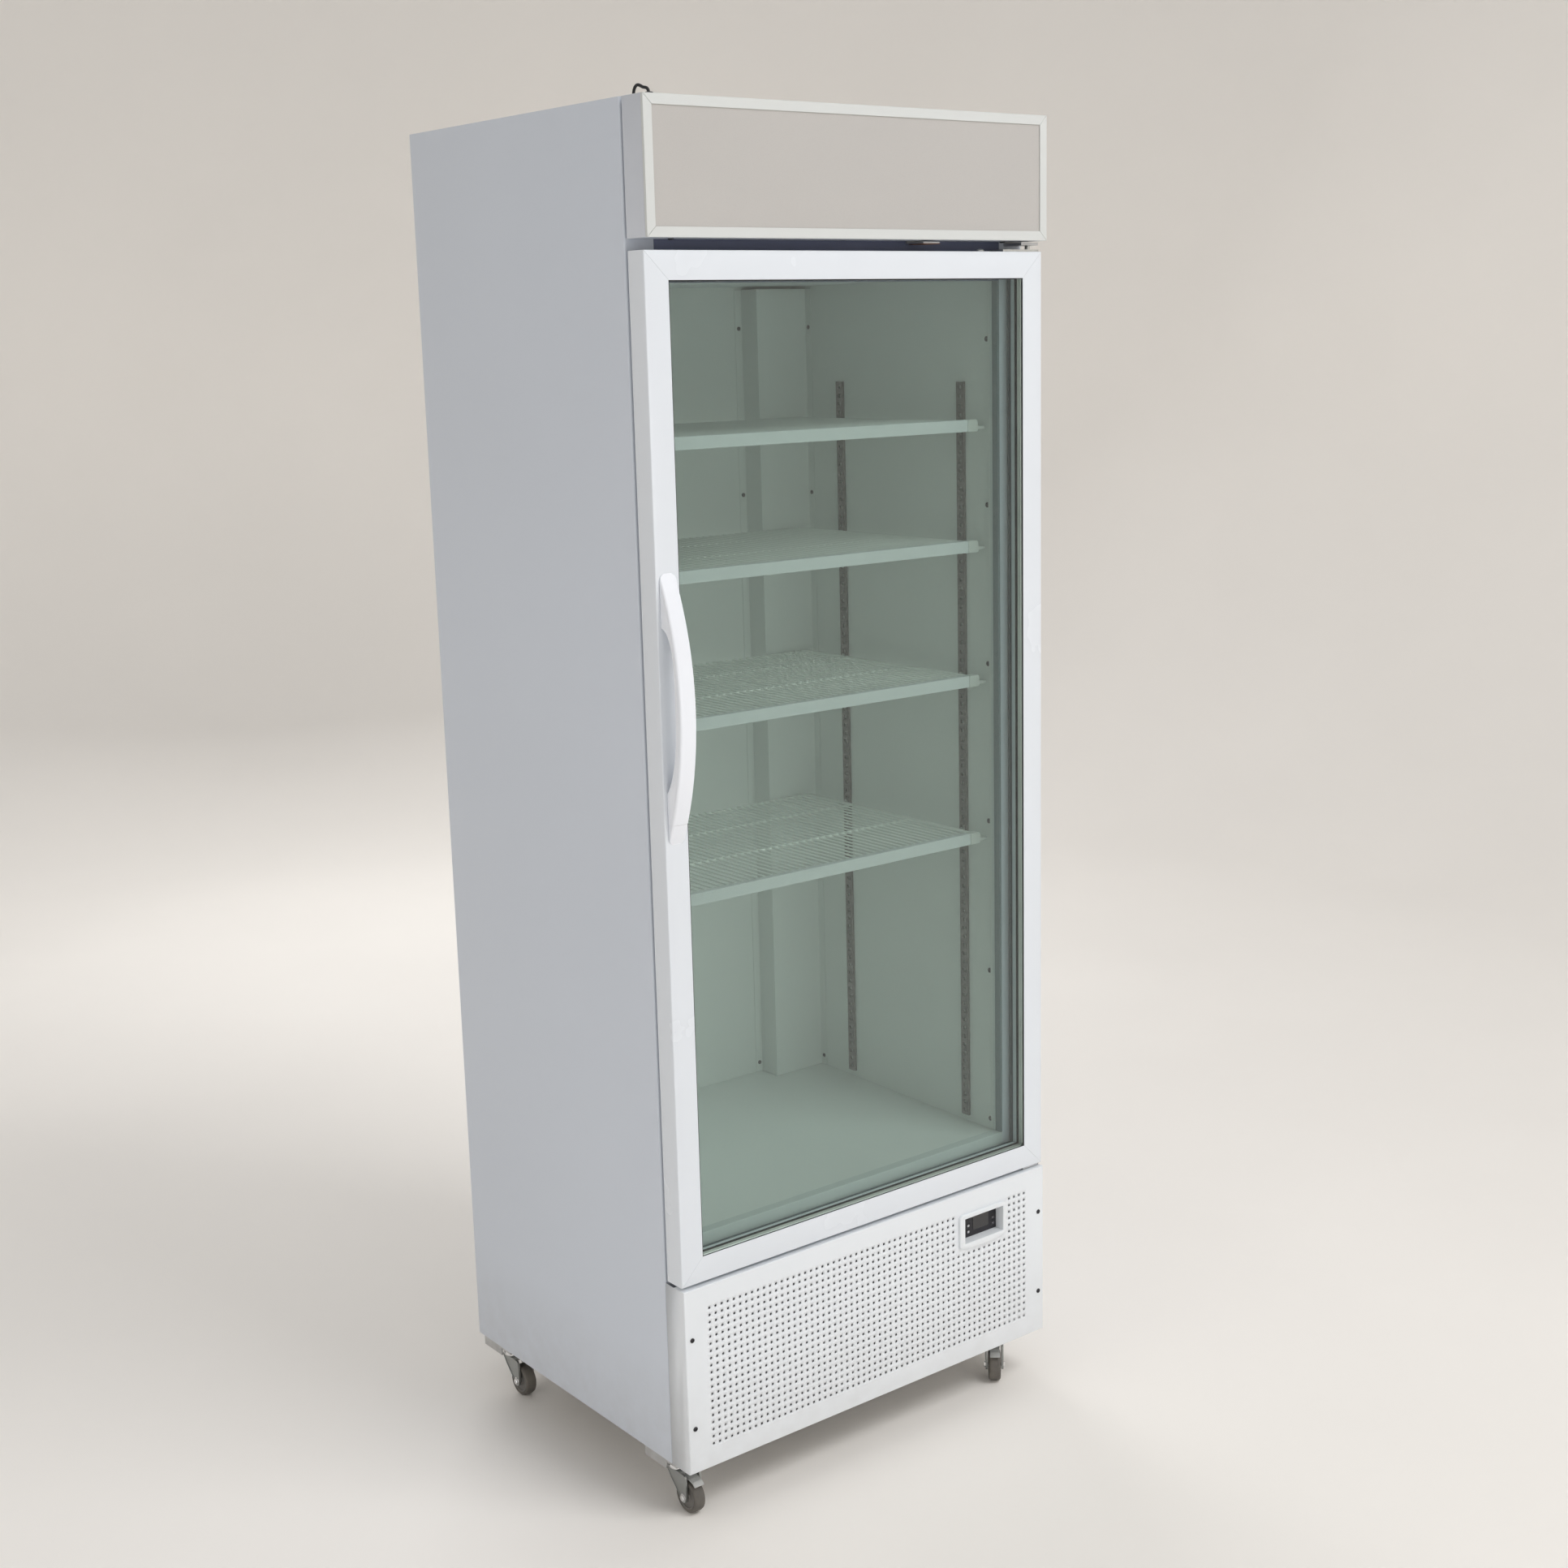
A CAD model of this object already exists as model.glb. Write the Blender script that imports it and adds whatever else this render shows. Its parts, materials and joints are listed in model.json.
"""Looks for the glass door merchandiser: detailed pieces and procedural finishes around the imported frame.

Everything is in metres in the frame's own axes: +Z up, the front faces -Y, and x = 0 is the middle.
Depths written as depth(n) are counted in millimetres from the lower panel's face towards the rear.
"""

import json
from math import atan2, cos, pi, radians, sin, sqrt, tan

import bmesh
import bpy
from mathutils import Matrix, Vector

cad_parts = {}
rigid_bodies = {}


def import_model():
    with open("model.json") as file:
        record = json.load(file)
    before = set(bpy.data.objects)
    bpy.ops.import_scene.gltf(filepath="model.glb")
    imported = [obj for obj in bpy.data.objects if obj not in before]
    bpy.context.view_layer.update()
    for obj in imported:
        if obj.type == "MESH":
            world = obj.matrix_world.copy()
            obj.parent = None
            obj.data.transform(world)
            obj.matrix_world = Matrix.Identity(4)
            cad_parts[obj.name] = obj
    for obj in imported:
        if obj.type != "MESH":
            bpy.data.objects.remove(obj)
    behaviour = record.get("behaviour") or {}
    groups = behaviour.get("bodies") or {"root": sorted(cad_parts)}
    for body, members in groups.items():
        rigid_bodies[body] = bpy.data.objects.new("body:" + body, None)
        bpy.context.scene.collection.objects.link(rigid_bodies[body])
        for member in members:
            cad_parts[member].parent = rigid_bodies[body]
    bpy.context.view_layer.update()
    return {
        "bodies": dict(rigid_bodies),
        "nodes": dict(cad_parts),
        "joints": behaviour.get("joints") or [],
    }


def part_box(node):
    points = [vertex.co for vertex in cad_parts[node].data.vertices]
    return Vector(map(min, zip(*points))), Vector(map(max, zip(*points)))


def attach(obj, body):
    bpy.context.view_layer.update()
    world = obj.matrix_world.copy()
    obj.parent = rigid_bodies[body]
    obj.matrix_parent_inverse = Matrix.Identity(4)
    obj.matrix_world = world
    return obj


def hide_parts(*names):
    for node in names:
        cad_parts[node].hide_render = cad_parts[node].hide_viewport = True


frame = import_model()

MM = 0.001
nodes = frame["nodes"]
joints = {joint["name"]: joint for joint in frame["joints"]}

panel_low, panel_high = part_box("lower_panel")
door_low, door_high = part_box("door_frame")
side_low, side_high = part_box("side_panel_right")
light_low, light_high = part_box("lightbox_frame")
roof_z = side_high.z


def depth(behind):
    """The y of a depth in millimetres behind the lower panel's face."""
    return panel_low.y + behind * MM


def mm(*values):
    """Lengths, or points, given in millimetres."""
    return [v * MM if isinstance(v, (int, float)) else (v[0] * MM, v[1] * MM) for v in values]


# ---- outlines and solids ----


def filleted(points, radii, steps=4):
    """A closed outline whose corners are rounded by their radii; a radius of 0 keeps the corner."""
    outline = []
    for i, radius in enumerate(radii):
        corner = Vector(points[i])
        if radius <= 0:
            outline.append(corner)
            continue
        back = (Vector(points[i - 1]) - corner).normalized()
        ahead = (Vector(points[(i + 1) % len(points)]) - corner).normalized()
        half = back.angle(ahead) / 2
        centre = corner + (back + ahead).normalized() * radius / sin(half)
        start = corner + back * radius / tan(half) - centre
        end = corner + ahead * radius / tan(half) - centre
        sweep = start.angle(end)
        for k in range(steps + 1):
            t = k / steps
            arm = start * sin((1 - t) * sweep) + end * sin(t * sweep)
            outline.append(centre + arm / sin(sweep))
    return outline


def rectangle(x0, z0, x1, z1, radius=0.0, steps=4):
    """A rectangle's outline with four equal rounded corners."""
    return filleted([(x0, z0), (x1, z0), (x1, z1), (x0, z1)], [radius] * 4, steps)


def placed(axis, along, across):
    """The 3-D point at a distance along an axis, with its two other coordinates in axis order."""
    a, b = across
    return {"x": (along, a, b), "y": (a, along, b), "z": (a, b, along)}[axis]


def skin(bm, rings, closed=False, caps=True):
    """Joins rings of vertices with faces, round again if closed, and fills both ends if not."""
    pairs = list(zip(rings, rings[1:]))
    if closed:
        pairs.append((rings[-1], rings[0]))
    for first, second in pairs:
        for i in range(len(first)):
            j = (i + 1) % len(first)
            bm.faces.new((first[i], first[j], second[j], second[i]))
    if caps and not closed:
        bm.faces.new(rings[0])
        bm.faces.new(rings[-1])


def prism(bm, outline, axis, low, high):
    """An outline swept straight along an axis."""
    skin(bm, [[bm.verts.new(placed(axis, at, p)) for p in outline] for at in (low, high)])


def block(bm, low, high):
    """A box between two corners; its edges are rounded by the piece's bevel."""
    prism(bm, rectangle(low[0], low[1], high[0], high[1]), "z", low[2], high[2])


def turned(bm, profile, centre, axis, steps=32, closed=False):
    """A profile of (radius, distance along the axis) turned about an axis through centre."""
    basis = Vector(axis).to_track_quat("Z", "Y").to_matrix()
    rings = []
    for radius, along in profile:
        count = steps if radius > 1e-7 else 1
        rings.append([])
        for i in range(count):
            angle = 2 * pi * i / steps
            local = Vector((radius * cos(angle), radius * sin(angle), along))
            rings[-1].append(bm.verts.new(Vector(centre) + basis @ local))
    pairs = list(zip(rings, rings[1:]))
    if closed:
        pairs.append((rings[-1], rings[0]))
    for first, second in pairs:
        for i in range(steps):
            j = (i + 1) % steps
            corners = [first[i % len(first)], first[j % len(first)],
                       second[j % len(second)], second[i % len(second)]]
            corners = list(dict.fromkeys(corners))
            if len(corners) > 2:
                bm.faces.new(corners)


def rod(bm, start, end, radius, sides=8):
    """A round bar with slightly chamfered ends."""
    start, end = Vector(start), Vector(end)
    length = (end - start).length
    chamfer = radius * 0.3
    turned(bm, [(0, 0), (radius - chamfer, 0), (radius, chamfer), (radius, length - chamfer),
                (radius - chamfer, length), (0, length)], start, end - start, sides)


def tube(bm, path, radius, sides=12):
    """A round tube along a list of points, whose rings keep from twisting."""
    rings = []
    normal = None
    for i, point in enumerate(path):
        along = (Vector(path[min(i + 1, len(path) - 1)]) - Vector(path[max(i - 1, 0)])).normalized()
        if normal is None:
            normal = along.orthogonal().normalized()
        normal = (normal - along * normal.dot(along)).normalized()
        other = along.cross(normal)
        angles = [2 * pi * k / sides for k in range(sides)]
        rings.append([bm.verts.new(Vector(point) + radius * (normal * cos(a) + other * sin(a)))
                      for a in angles])
    skin(bm, rings)


def mitred_ring(bm, profile, low, high, joint=0.15 * MM):
    """Four members round a rectangle in X and Z, cut at 45 degrees with a fine joint between them.
    A profile point is (y, distance inwards from the outer edge)."""
    for turn in range(4):
        rings = []
        for end in (0, 1):
            ring = []
            for y, inset in profile:
                cut = inset + joint
                if turn % 2 == 0:
                    x = low.x + cut if end == 0 else high.x - cut
                    z = low.z + inset if turn == 0 else high.z - inset
                else:
                    z = low.z + cut if end == 0 else high.z - cut
                    x = high.x - inset if turn == 1 else low.x + inset
                ring.append(bm.verts.new((x, y, z)))
            rings.append(ring)
        skin(bm, rings)


def cross_head(bm, centre, axis, radius, height, steps=32):
    """A pan head with a cross recess, its flat side at centre."""
    basis = Vector(axis).to_track_quat("Z", "Y").to_matrix()
    shares = [0.1, 0.2, 0.3, 0.4, 0.5, 0.6, 0.7, 0.82, 0.93, 1.0]

    def vertex(share, i, height):
        angle = 2 * pi * i / steps
        x, y = radius * share * cos(angle), radius * share * sin(angle)
        slot = min(abs(x), abs(y)) < 0.13 * radius and share < 0.62
        along = height * (1 - 0.55 * share ** 4) * (0.45 if slot else 1)
        return bm.verts.new(Vector(centre) + basis @ Vector((x, y, along)))

    tip = bm.verts.new(Vector(centre) + basis @ Vector((0, 0, height * 0.4)))
    rings = [[vertex(share, i, height) for i in range(steps)] for share in shares]
    foot = [vertex(1, i, 0) for i in range(steps)]
    skin(bm, rings + [foot], caps=False)
    bm.faces.new(foot)
    for i in range(steps):
        bm.faces.new((tip, rings[0][i], rings[0][(i + 1) % steps]))


def islands(node):
    """The boxes of a CAD node's separate solids, as (lowest corner, highest corner)."""
    mesh = nodes[node].data
    keys = [tuple(round(c, 6) for c in v.co) for v in mesh.vertices]
    leader = {key: key for key in keys}

    def top(key):
        while leader[key] != key:
            leader[key] = leader[leader[key]]
            key = leader[key]
        return key

    for edge in mesh.edges:
        a, b = (top(keys[i]) for i in edge.vertices)
        leader[a] = b
    groups = {}
    for key in leader:
        groups.setdefault(top(key), []).append(key)
    boxes = [(Vector(map(min, zip(*g))), Vector(map(max, zip(*g)))) for g in groups.values()]
    return sorted(boxes, key=lambda box: tuple(box[0]))


# ---- finishes ----


def shader_node(tree, kind, output, values=(), settings=None, **named):
    """Adds a node, sets or links its inputs by number and by name, and returns one of its outputs."""
    node = tree.nodes.new("ShaderNode" + kind)
    for key, value in (settings or {}).items():
        setattr(node, key, value)
    sockets = list(zip(node.inputs, values))
    sockets += [(node.inputs[key.replace("_", " ")], value) for key, value in named.items()]
    for socket, value in sockets:
        if isinstance(value, bpy.types.NodeSocket):
            tree.links.new(value, socket)
        else:
            socket.default_value = value
    return node.outputs[output]


def finish_of(name, colour, rough, metallic=0.0, mottle=0.04, mottle_scale=5.0, grain=0.05,
              grain_scale=700.0, specular=0.5, coat=0.0, dust=0.0, flecks=0.0, wear=0.12):
    """A procedural finish: one broad noise shifts colour and roughness, a fine one makes the bump.
    dust greys what lies near the floor, flecks adds small darker specks, wear is the share of roughness."""
    material = bpy.data.materials.new(name)
    material.use_nodes = True
    tree = material.node_tree
    shader = tree.nodes["Principled BSDF"].inputs
    for key, value in (("Metallic", metallic), ("Specular IOR Level", specular),
                       ("Coat Weight", coat), ("Coat Roughness", 0.12)):
        shader[key].default_value = value
    place = shader_node(tree, "TexCoord", "Object")

    def noise(scale, detail):
        return shader_node(tree, "TexNoise", "Fac", Vector=place, Scale=scale, Detail=detail)

    def ramp(source, low, high, from_low=0.2, from_high=0.8):
        return shader_node(tree, "MapRange", "Result", (source, from_low, from_high, low, high))

    def blended(factor, first, second):
        return shader_node(tree, "Mix", "Result", settings={"data_type": "RGBA"},
                           Factor=factor, A=first, B=second)

    def shade(share):
        return tuple(min(1.0, c * share) for c in colour) + (1.0,)

    broad = noise(mottle_scale, 4)
    tint = blended(ramp(broad, 0, 1), shade(1 - mottle), shade(1 + mottle))
    if flecks:
        tint = blended(ramp(noise(900, 2), 0, flecks, 0.52, 0.68), tint, shade(0.62))
    if dust:
        low = ramp(shader_node(tree, "SeparateXYZ", "Z", Vector=place), dust, 0, 0.07, 0.24)
        grime = shader_node(tree, "Math", "Value", (low, ramp(noise(38, 6), 0.3, 1)),
                            {"operation": "MULTIPLY"})
        tint = blended(grime, tint, (0.30, 0.27, 0.23, 1))
    tree.links.new(tint, shader["Base Color"])
    tree.links.new(ramp(broad, rough * (1 - wear), min(1, rough * (1 + wear))), shader["Roughness"])
    bump = shader_node(tree, "Bump", "Normal", Strength=grain, Distance=0.0004, Height=noise(grain_scale, 2))
    tree.links.new(bump, shader["Normal"])
    return material


def glass_finish(name, tint, gloss=0.02):
    """Clear glass: tinted transparency under a thin reflection that grows towards grazing angles."""
    material = bpy.data.materials.new(name)
    material.use_nodes = True
    tree = material.node_tree
    tree.nodes.remove(tree.nodes["Principled BSDF"])
    place = shader_node(tree, "TexCoord", "Object")
    smear = shader_node(tree, "TexNoise", "Fac", Vector=place, Scale=3.0, Detail=5.0)
    rough = shader_node(tree, "MapRange", "Result", Value=smear, To_Min=gloss, To_Max=gloss * 3)
    clear = shader_node(tree, "BsdfTransparent", "BSDF", Color=tint)
    shiny = shader_node(tree, "BsdfGlossy", "BSDF", Roughness=rough)
    facing = shader_node(tree, "LayerWeight", "Facing", Blend=0.5)
    power = shader_node(tree, "Math", "Value", (facing, 5.0), {"operation": "POWER"})
    share = shader_node(tree, "MapRange", "Result", Value=power, To_Min=0.035, To_Max=1.0)
    surface = shader_node(tree, "MixShader", "Shader", (share, clear, shiny))
    tree.links.new(surface, tree.nodes["Material Output"].inputs["Surface"])
    return material


PAINT = {"grain": 0.04, "mottle": 0.015, "wear": 0.04}
white_steel = finish_of("white_steel", (0.775, 0.81, 0.85), 0.34, grain_scale=500, mottle=0.015, dust=0.2,
                        wear=0.04)
side_skin = finish_of("side_skin", (0.62, 0.665, 0.74), 0.36, grain=0.04, mottle=0.015, mottle_scale=2.5,
                      dust=0.25, wear=0.04)
door_white = finish_of("door_white", (0.735, 0.775, 0.83), 0.27, grain=0.06, grain_scale=420, coat=0.25,
                       mottle=0.012, wear=0.03)
housing_white = finish_of("housing_white", (0.60, 0.63, 0.69), 0.36, **PAINT)
lightbox_white = finish_of("lightbox_white", (0.64, 0.66, 0.655), 0.35, **PAINT)
galvanised = finish_of("galvanised", (0.58, 0.59, 0.60), 0.38, metallic=0.9, mottle=0.16, mottle_scale=45,
                       dust=0.3)
rear_steel = finish_of("rear_steel", (0.60, 0.61, 0.62), 0.42, metallic=0.75, mottle=0.03, mottle_scale=18,
                       wear=0.03, grain=0.04, dust=0.2)
liner_white = finish_of("liner_white", (0.74, 0.77, 0.755), 0.42, grain=0.06, grain_scale=260, mottle=0.03)
rim_header = finish_of("rim_header", (0.13, 0.15, 0.24), 0.48)
rim_throat = finish_of("rim_throat", (0.60, 0.65, 0.65), 0.42, mottle=0.03)
rim_seat = finish_of("rim_seat", (0.16, 0.21, 0.23), 0.45, mottle=0.05)
foam = finish_of("foam", (0.86, 0.80, 0.62), 0.9, mottle=0.1, grain=0.6, grain_scale=300)
black_screw = finish_of("black_screw", (0.035, 0.035, 0.04), 0.38, metallic=0.3, grain=0.08)
rail_steel = finish_of("rail_steel", (0.155, 0.145, 0.14), 0.5, metallic=0.2, grain=0.08, mottle=0.1,
                       mottle_scale=60)
wire_white = finish_of("wire_white", (0.86, 0.89, 0.86), 0.30, coat=0.3)
weld_white = finish_of("weld_white", (0.95, 0.97, 0.94), 0.28, coat=0.3)
lip_white = finish_of("lip_white", (0.60, 0.635, 0.645), 0.36, grain=0.04, mottle=0.015, wear=0.05)
lip_end = finish_of("lip_end", (0.57, 0.595, 0.57), 0.42, grain=0.06)
clip_zinc = finish_of("clip_zinc", (0.62, 0.63, 0.62), 0.35, metallic=0.85, mottle=0.1, mottle_scale=80)
fin_aluminium = finish_of("fin_aluminium", (0.76, 0.77, 0.78), 0.4, metallic=0.9, mottle=0.08,
                          mottle_scale=60, grain=0.1)
motor_black = finish_of("motor_black", (0.03, 0.03, 0.033), 0.35, grain=0.12, grain_scale=350, mottle=0.1)
fan_black = finish_of("fan_black", (0.035, 0.035, 0.037), 0.45, grain=0.08)
opal = finish_of("opal", (0.88, 0.89, 0.87), 0.3, grain=0.03, coat=0.3)
acrylic = finish_of("acrylic", (0.49, 0.475, 0.46), 0.3, grain=0.03, grain_scale=900, mottle=0.025,
                    mottle_scale=3, flecks=0.16)
cable_black = finish_of("cable_black", (0.018, 0.018, 0.019), 0.55, grain=0.2, grain_scale=1200)
bezel_white = finish_of("bezel_white", (0.78, 0.815, 0.85), 0.36, grain=0.06, grain_scale=1500, mottle=0.015)
display_black = finish_of("display_black", (0.014, 0.013, 0.018), 0.4, grain=0.1, grain_scale=1500)
display_window = finish_of("display_window", (0.008, 0.008, 0.011), 0.09, grain=0.01, coat=0.6)
key_black = finish_of("key_black", (0.035, 0.034, 0.038), 0.5, grain=0.15, grain_scale=2000)
mark_pale = finish_of("mark_pale", (0.52, 0.53, 0.55), 0.6, mottle=0.1, mottle_scale=900)
mark_dim = finish_of("mark_dim", (0.20, 0.20, 0.22), 0.6, mottle=0.1, mottle_scale=900)
tray_black = finish_of("tray_black", (0.05, 0.05, 0.05), 0.5, grain=0.15)
spacer_metal = finish_of("spacer_metal", (0.62, 0.66, 0.63), 0.38, metallic=0.75, mottle=0.12,
                         mottle_scale=14)
gasket_grey = finish_of("gasket_grey", (0.10, 0.125, 0.14), 0.6, grain=0.15, grain_scale=900)
seal_black = finish_of("seal_black", (0.02, 0.02, 0.021), 0.6, grain=0.2, grain_scale=900)
handle_white = finish_of("handle_white", (0.84, 0.87, 0.93), 0.3, grain=0.1, grain_scale=1600, coat=0.2,
                         mottle=0.012, wear=0.05)
zinc = finish_of("zinc", (0.64, 0.65, 0.64), 0.3, metallic=0.95, mottle=0.12, mottle_scale=90, grain=0.08,
                 dust=0.35)
fork_zinc = finish_of("fork_zinc", (0.36, 0.38, 0.38), 0.36, metallic=0.85, mottle=0.08, mottle_scale=90,
                      grain=0.08, dust=0.3)
chrome = finish_of("chrome", (0.80, 0.80, 0.81), 0.14, metallic=1.0, grain=0.03)
tread_black = finish_of("tread_black", (0.03, 0.03, 0.03), 0.65, grain=0.3, grain_scale=700, dust=0.55)
hub_grey = finish_of("hub_grey", (0.10, 0.10, 0.10), 0.5, grain=0.15, dust=0.4)
pedal_grey = finish_of("pedal_grey", (0.42, 0.44, 0.44), 0.48, grain=0.15, grain_scale=800, dust=0.3)
primer_brown = finish_of("primer_brown", (0.22, 0.13, 0.10), 0.55, mottle=0.2, mottle_scale=120, grain=0.2)
copper = finish_of("copper", (0.80, 0.42, 0.27), 0.32, metallic=1.0, mottle=0.12, mottle_scale=70)
clear_glass = glass_finish("clear_glass", (0.945, 0.972, 0.962, 1))


# ---- adding pieces ----


def soften(obj, width, segments):
    """Rounds a piece's hard edges by a width in millimetres and evens its shading."""
    bevel = obj.modifiers.new("edges", "BEVEL")
    bevel.width = width * MM
    bevel.segments = segments
    bevel.limit_method = "ANGLE"
    bevel.angle_limit = radians(30)
    bevel.harden_normals = True


def linked(name, bm, material):
    """Turns a bmesh into a smooth-shaded object in the scene."""
    mesh = bpy.data.meshes.new(name)
    bm.to_mesh(mesh)
    bm.free()
    mesh.polygons.foreach_set("use_smooth", [True] * len(mesh.polygons))
    mesh.materials.append(material)
    obj = bpy.data.objects.new(name, mesh)
    bpy.context.scene.collection.objects.link(obj)
    return obj


def add(name, bm, material, slot, replaces=(), body="root", bevel=0.0, segments=2, sheet=0.0,
        smooth_angle=40):
    """Turns a bmesh into a piece that rides on a body and stands for CAD nodes.
    bevel and sheet are in millimetres; sheet thickens the piece inwards as metal of that gauge."""
    bmesh.ops.recalc_face_normals(bm, faces=bm.faces)
    obj = linked(name, bm, material)
    if sheet:
        solid = obj.modifiers.new("gauge", "SOLIDIFY")
        solid.thickness = sheet * MM
        solid.offset = -1
    if bevel:
        soften(obj, bevel, segments)
    else:
        obj.data.set_sharp_from_angle(angle=radians(smooth_angle))
    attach(obj, body)
    if replaces:
        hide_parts(*replaces)
    return obj


def dress(node, material, bevel=0.0, segments=2):
    """Gives a CAD node that stays its finish, and rounds its edges with modifiers."""
    obj = nodes[node]
    obj.data.materials.clear()
    obj.data.materials.append(material)
    if bevel:
        weld = obj.modifiers.new("joined", "WELD")
        weld.merge_threshold = 0.00001
        soften(obj, bevel, segments)


# ---- cabinet ----


def side_skins():
    """Two side sheets, each folded round the front corner and hemmed at the rear."""
    gauge = 1.0 * MM
    x1, x0, y0, y1 = side_high.x, side_low.x, side_low.y, side_high.y
    hem = x1 - 15 * MM
    points = [(x1, y0), (x1, y1), (hem, y1), (hem, y1 - gauge), (x1 - gauge, y1 - gauge),
              (x1 - gauge, y0 + gauge), (x0, y0 + gauge), (x0, y0)]
    radii = mm(3, 2.5, 0.3, 0.3, 1.5, 2, 0.3, 0.3)
    outline = filleted(points, radii, 5)
    for sign, side in ((1, "right"), (-1, "left")):
        bm = bmesh.new()
        prism(bm, [(sign * p[0], p[1]) for p in outline], "z", side_low.z, side_high.z)
        add(f"side_skin_{side}", bm, side_skin, "side_skin", [f"side_panel_{side}"], smooth_angle=50)


def rear_sheets():
    """The rear panel with pressed stiffening beads, and rounded-edge finishes for its neighbours."""
    low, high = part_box("rear_panel")
    bm = bmesh.new()
    columns, rows = 60, 120
    grid = []
    for j in range(rows + 1):
        z = low.z + (high.z - low.z) * j / rows
        line = []
        for i in range(columns + 1):
            x = low.x + (high.x - low.x) * i / columns
            bead = 0.0
            for centre in (0.2, 0.5, 0.8):
                across = abs(x - (low.x + (high.x - low.x) * centre)) / (16 * MM)
                along = min(1.0, max(0.0, min(z - low.z, high.z - z) / MM - 90) / 30)
                bead = max(bead, max(0.0, 1 - across ** 2) * along)
            line.append(bm.verts.new((x, high.y - 2.2 * MM * bead, z)))
        grid.append(line)
    for first, second in zip(grid, grid[1:]):
        for i in range(columns):
            bm.faces.new((first[i], second[i], second[i + 1], first[i + 1]))
    add("rear_panel_sheet", bm, rear_steel, "galvanised", ["rear_panel"], sheet=-0.8)
    dress("rear_grille", rear_steel)
    dress("roof_panel", white_steel, 0.4)
    dress("base_tray", galvanised, 0.4)
    dress("insulation", foam)
    dress("power_inlet", motor_black, 0.5)


def screws():
    """Every screw head, where the frame has one, with a cross recess."""
    bm = bmesh.new()
    for low, high in islands("screws"):
        centre, size = (low + high) / 2, high - low
        thin = min(range(3), key=lambda k: size[k])
        radius = max(size) / 2
        if thin == 0:
            towards = -1 if centre.x > 0 else 1
        elif thin == 1:
            towards = 1 if centre.y > side_high.y - 5 * MM else -1
        else:
            towards = -1
        axis = Vector((0, 0, 0))
        axis[thin] = towards
        seat = centre.copy()
        seat[thin] = low[thin] if towards > 0 else high[thin]
        cross_head(bm, seat, axis, radius, size[thin])
    add("screw_heads", bm, black_screw, "screw_steel", ["screws"], smooth_angle=35)


# ---- lightbox ----


def lightbox():
    """Housing with soft corners, mitred face frame, diffuser, tube, and the lead with its grommets."""
    low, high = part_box("lightbox_housing")
    bm = bmesh.new()
    radius = 2 * MM
    outline = rectangle(low.x, low.z, high.x, high.z, 0.8 * MM, 2)
    inset = rectangle(low.x + radius, low.z + radius, high.x - radius, high.z - radius, 0.5 * MM, 2)
    skin(bm, [[bm.verts.new((p[0], y, p[1])) for p in ring] for y, ring in
              ((low.y, outline), (high.y - radius, outline), (high.y, inset))], caps=False)
    bm.verts.ensure_lookup_table()
    bm.faces.new(bm.verts[-len(inset):])
    add("lightbox_shell", bm, housing_white, "white_steel", ["lightbox_housing"], sheet=1.2, bevel=0.5)

    face, width = light_low.y, light_high.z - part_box("lightbox_panel")[1].z + 3.8 * MM
    bm = bmesh.new()
    profile = [(face, 0), (face + 5 * MM, 0), (face + 5 * MM, width - 4 * MM),
               (face + 1.5 * MM, width - 4 * MM), (face + 1.5 * MM, width), (face, width)]
    mitred_ring(bm, profile, light_low, light_high)
    add("lightbox_face_frame", bm, lightbox_white, "white_steel", ["lightbox_frame"], bevel=0.6)

    low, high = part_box("lightbox_panel")
    bm = bmesh.new()
    prism(bm, rectangle(low.x, low.z, high.x, high.z, 1 * MM), "y", low.y, high.y)
    add("lightbox_diffuser", bm, acrylic, "lightbox_acrylic", ["lightbox_panel"], bevel=0.4)
    dress("lightbox_lamp", opal, 0.8)


def lead_and_grommets():
    """The lamp's lead on its own route over the roof, with a rubber grommet at each hole."""
    low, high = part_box("lamp_lead")
    x = (low.x + high.x) / 2
    route = [(37, -12), (37, -4), (37, 3), (35, 8.5), (31, 12), (26, 12.5), (21, 11), (16, 9), (11, 8),
             (6.5, 6.5), (4, 3.5), (3, -1), (3, -6), (3, -12)]
    points = [Vector((x, depth(y), roof_z + z * MM)) for y, z in route]
    path = []
    for i in range(len(points) - 1):
        a, b, c, d = (points[min(max(k, 0), len(points) - 1)] for k in (i - 1, i, i + 1, i + 2))
        for t in (0, 0.25, 0.5, 0.75):
            path.append(b + t / 2 * (c - a + t * (2 * a - 5 * b + 4 * c - d + t * (3 * b - a - 3 * c + d))))
    path.append(points[-1])
    bm = bmesh.new()
    tube(bm, path, 2 * MM, 16)
    add("lamp_lead_cable", bm, cable_black, "cable_black", ["lamp_lead"], smooth_angle=60)
    bm = bmesh.new()
    for y in (3, 37):
        turned(bm, mm((2.1, -1), (5, -1), (6, 0), (5.7, 1.2), (4.2, 2), (2.8, 2.2), (2.1, 1.6)),
               (x, depth(y), roof_z), (0, 0, 1), closed=True)
    add("lead_grommets", bm, cable_black, "cable_black")


# ---- lower panel and controller ----


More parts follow.
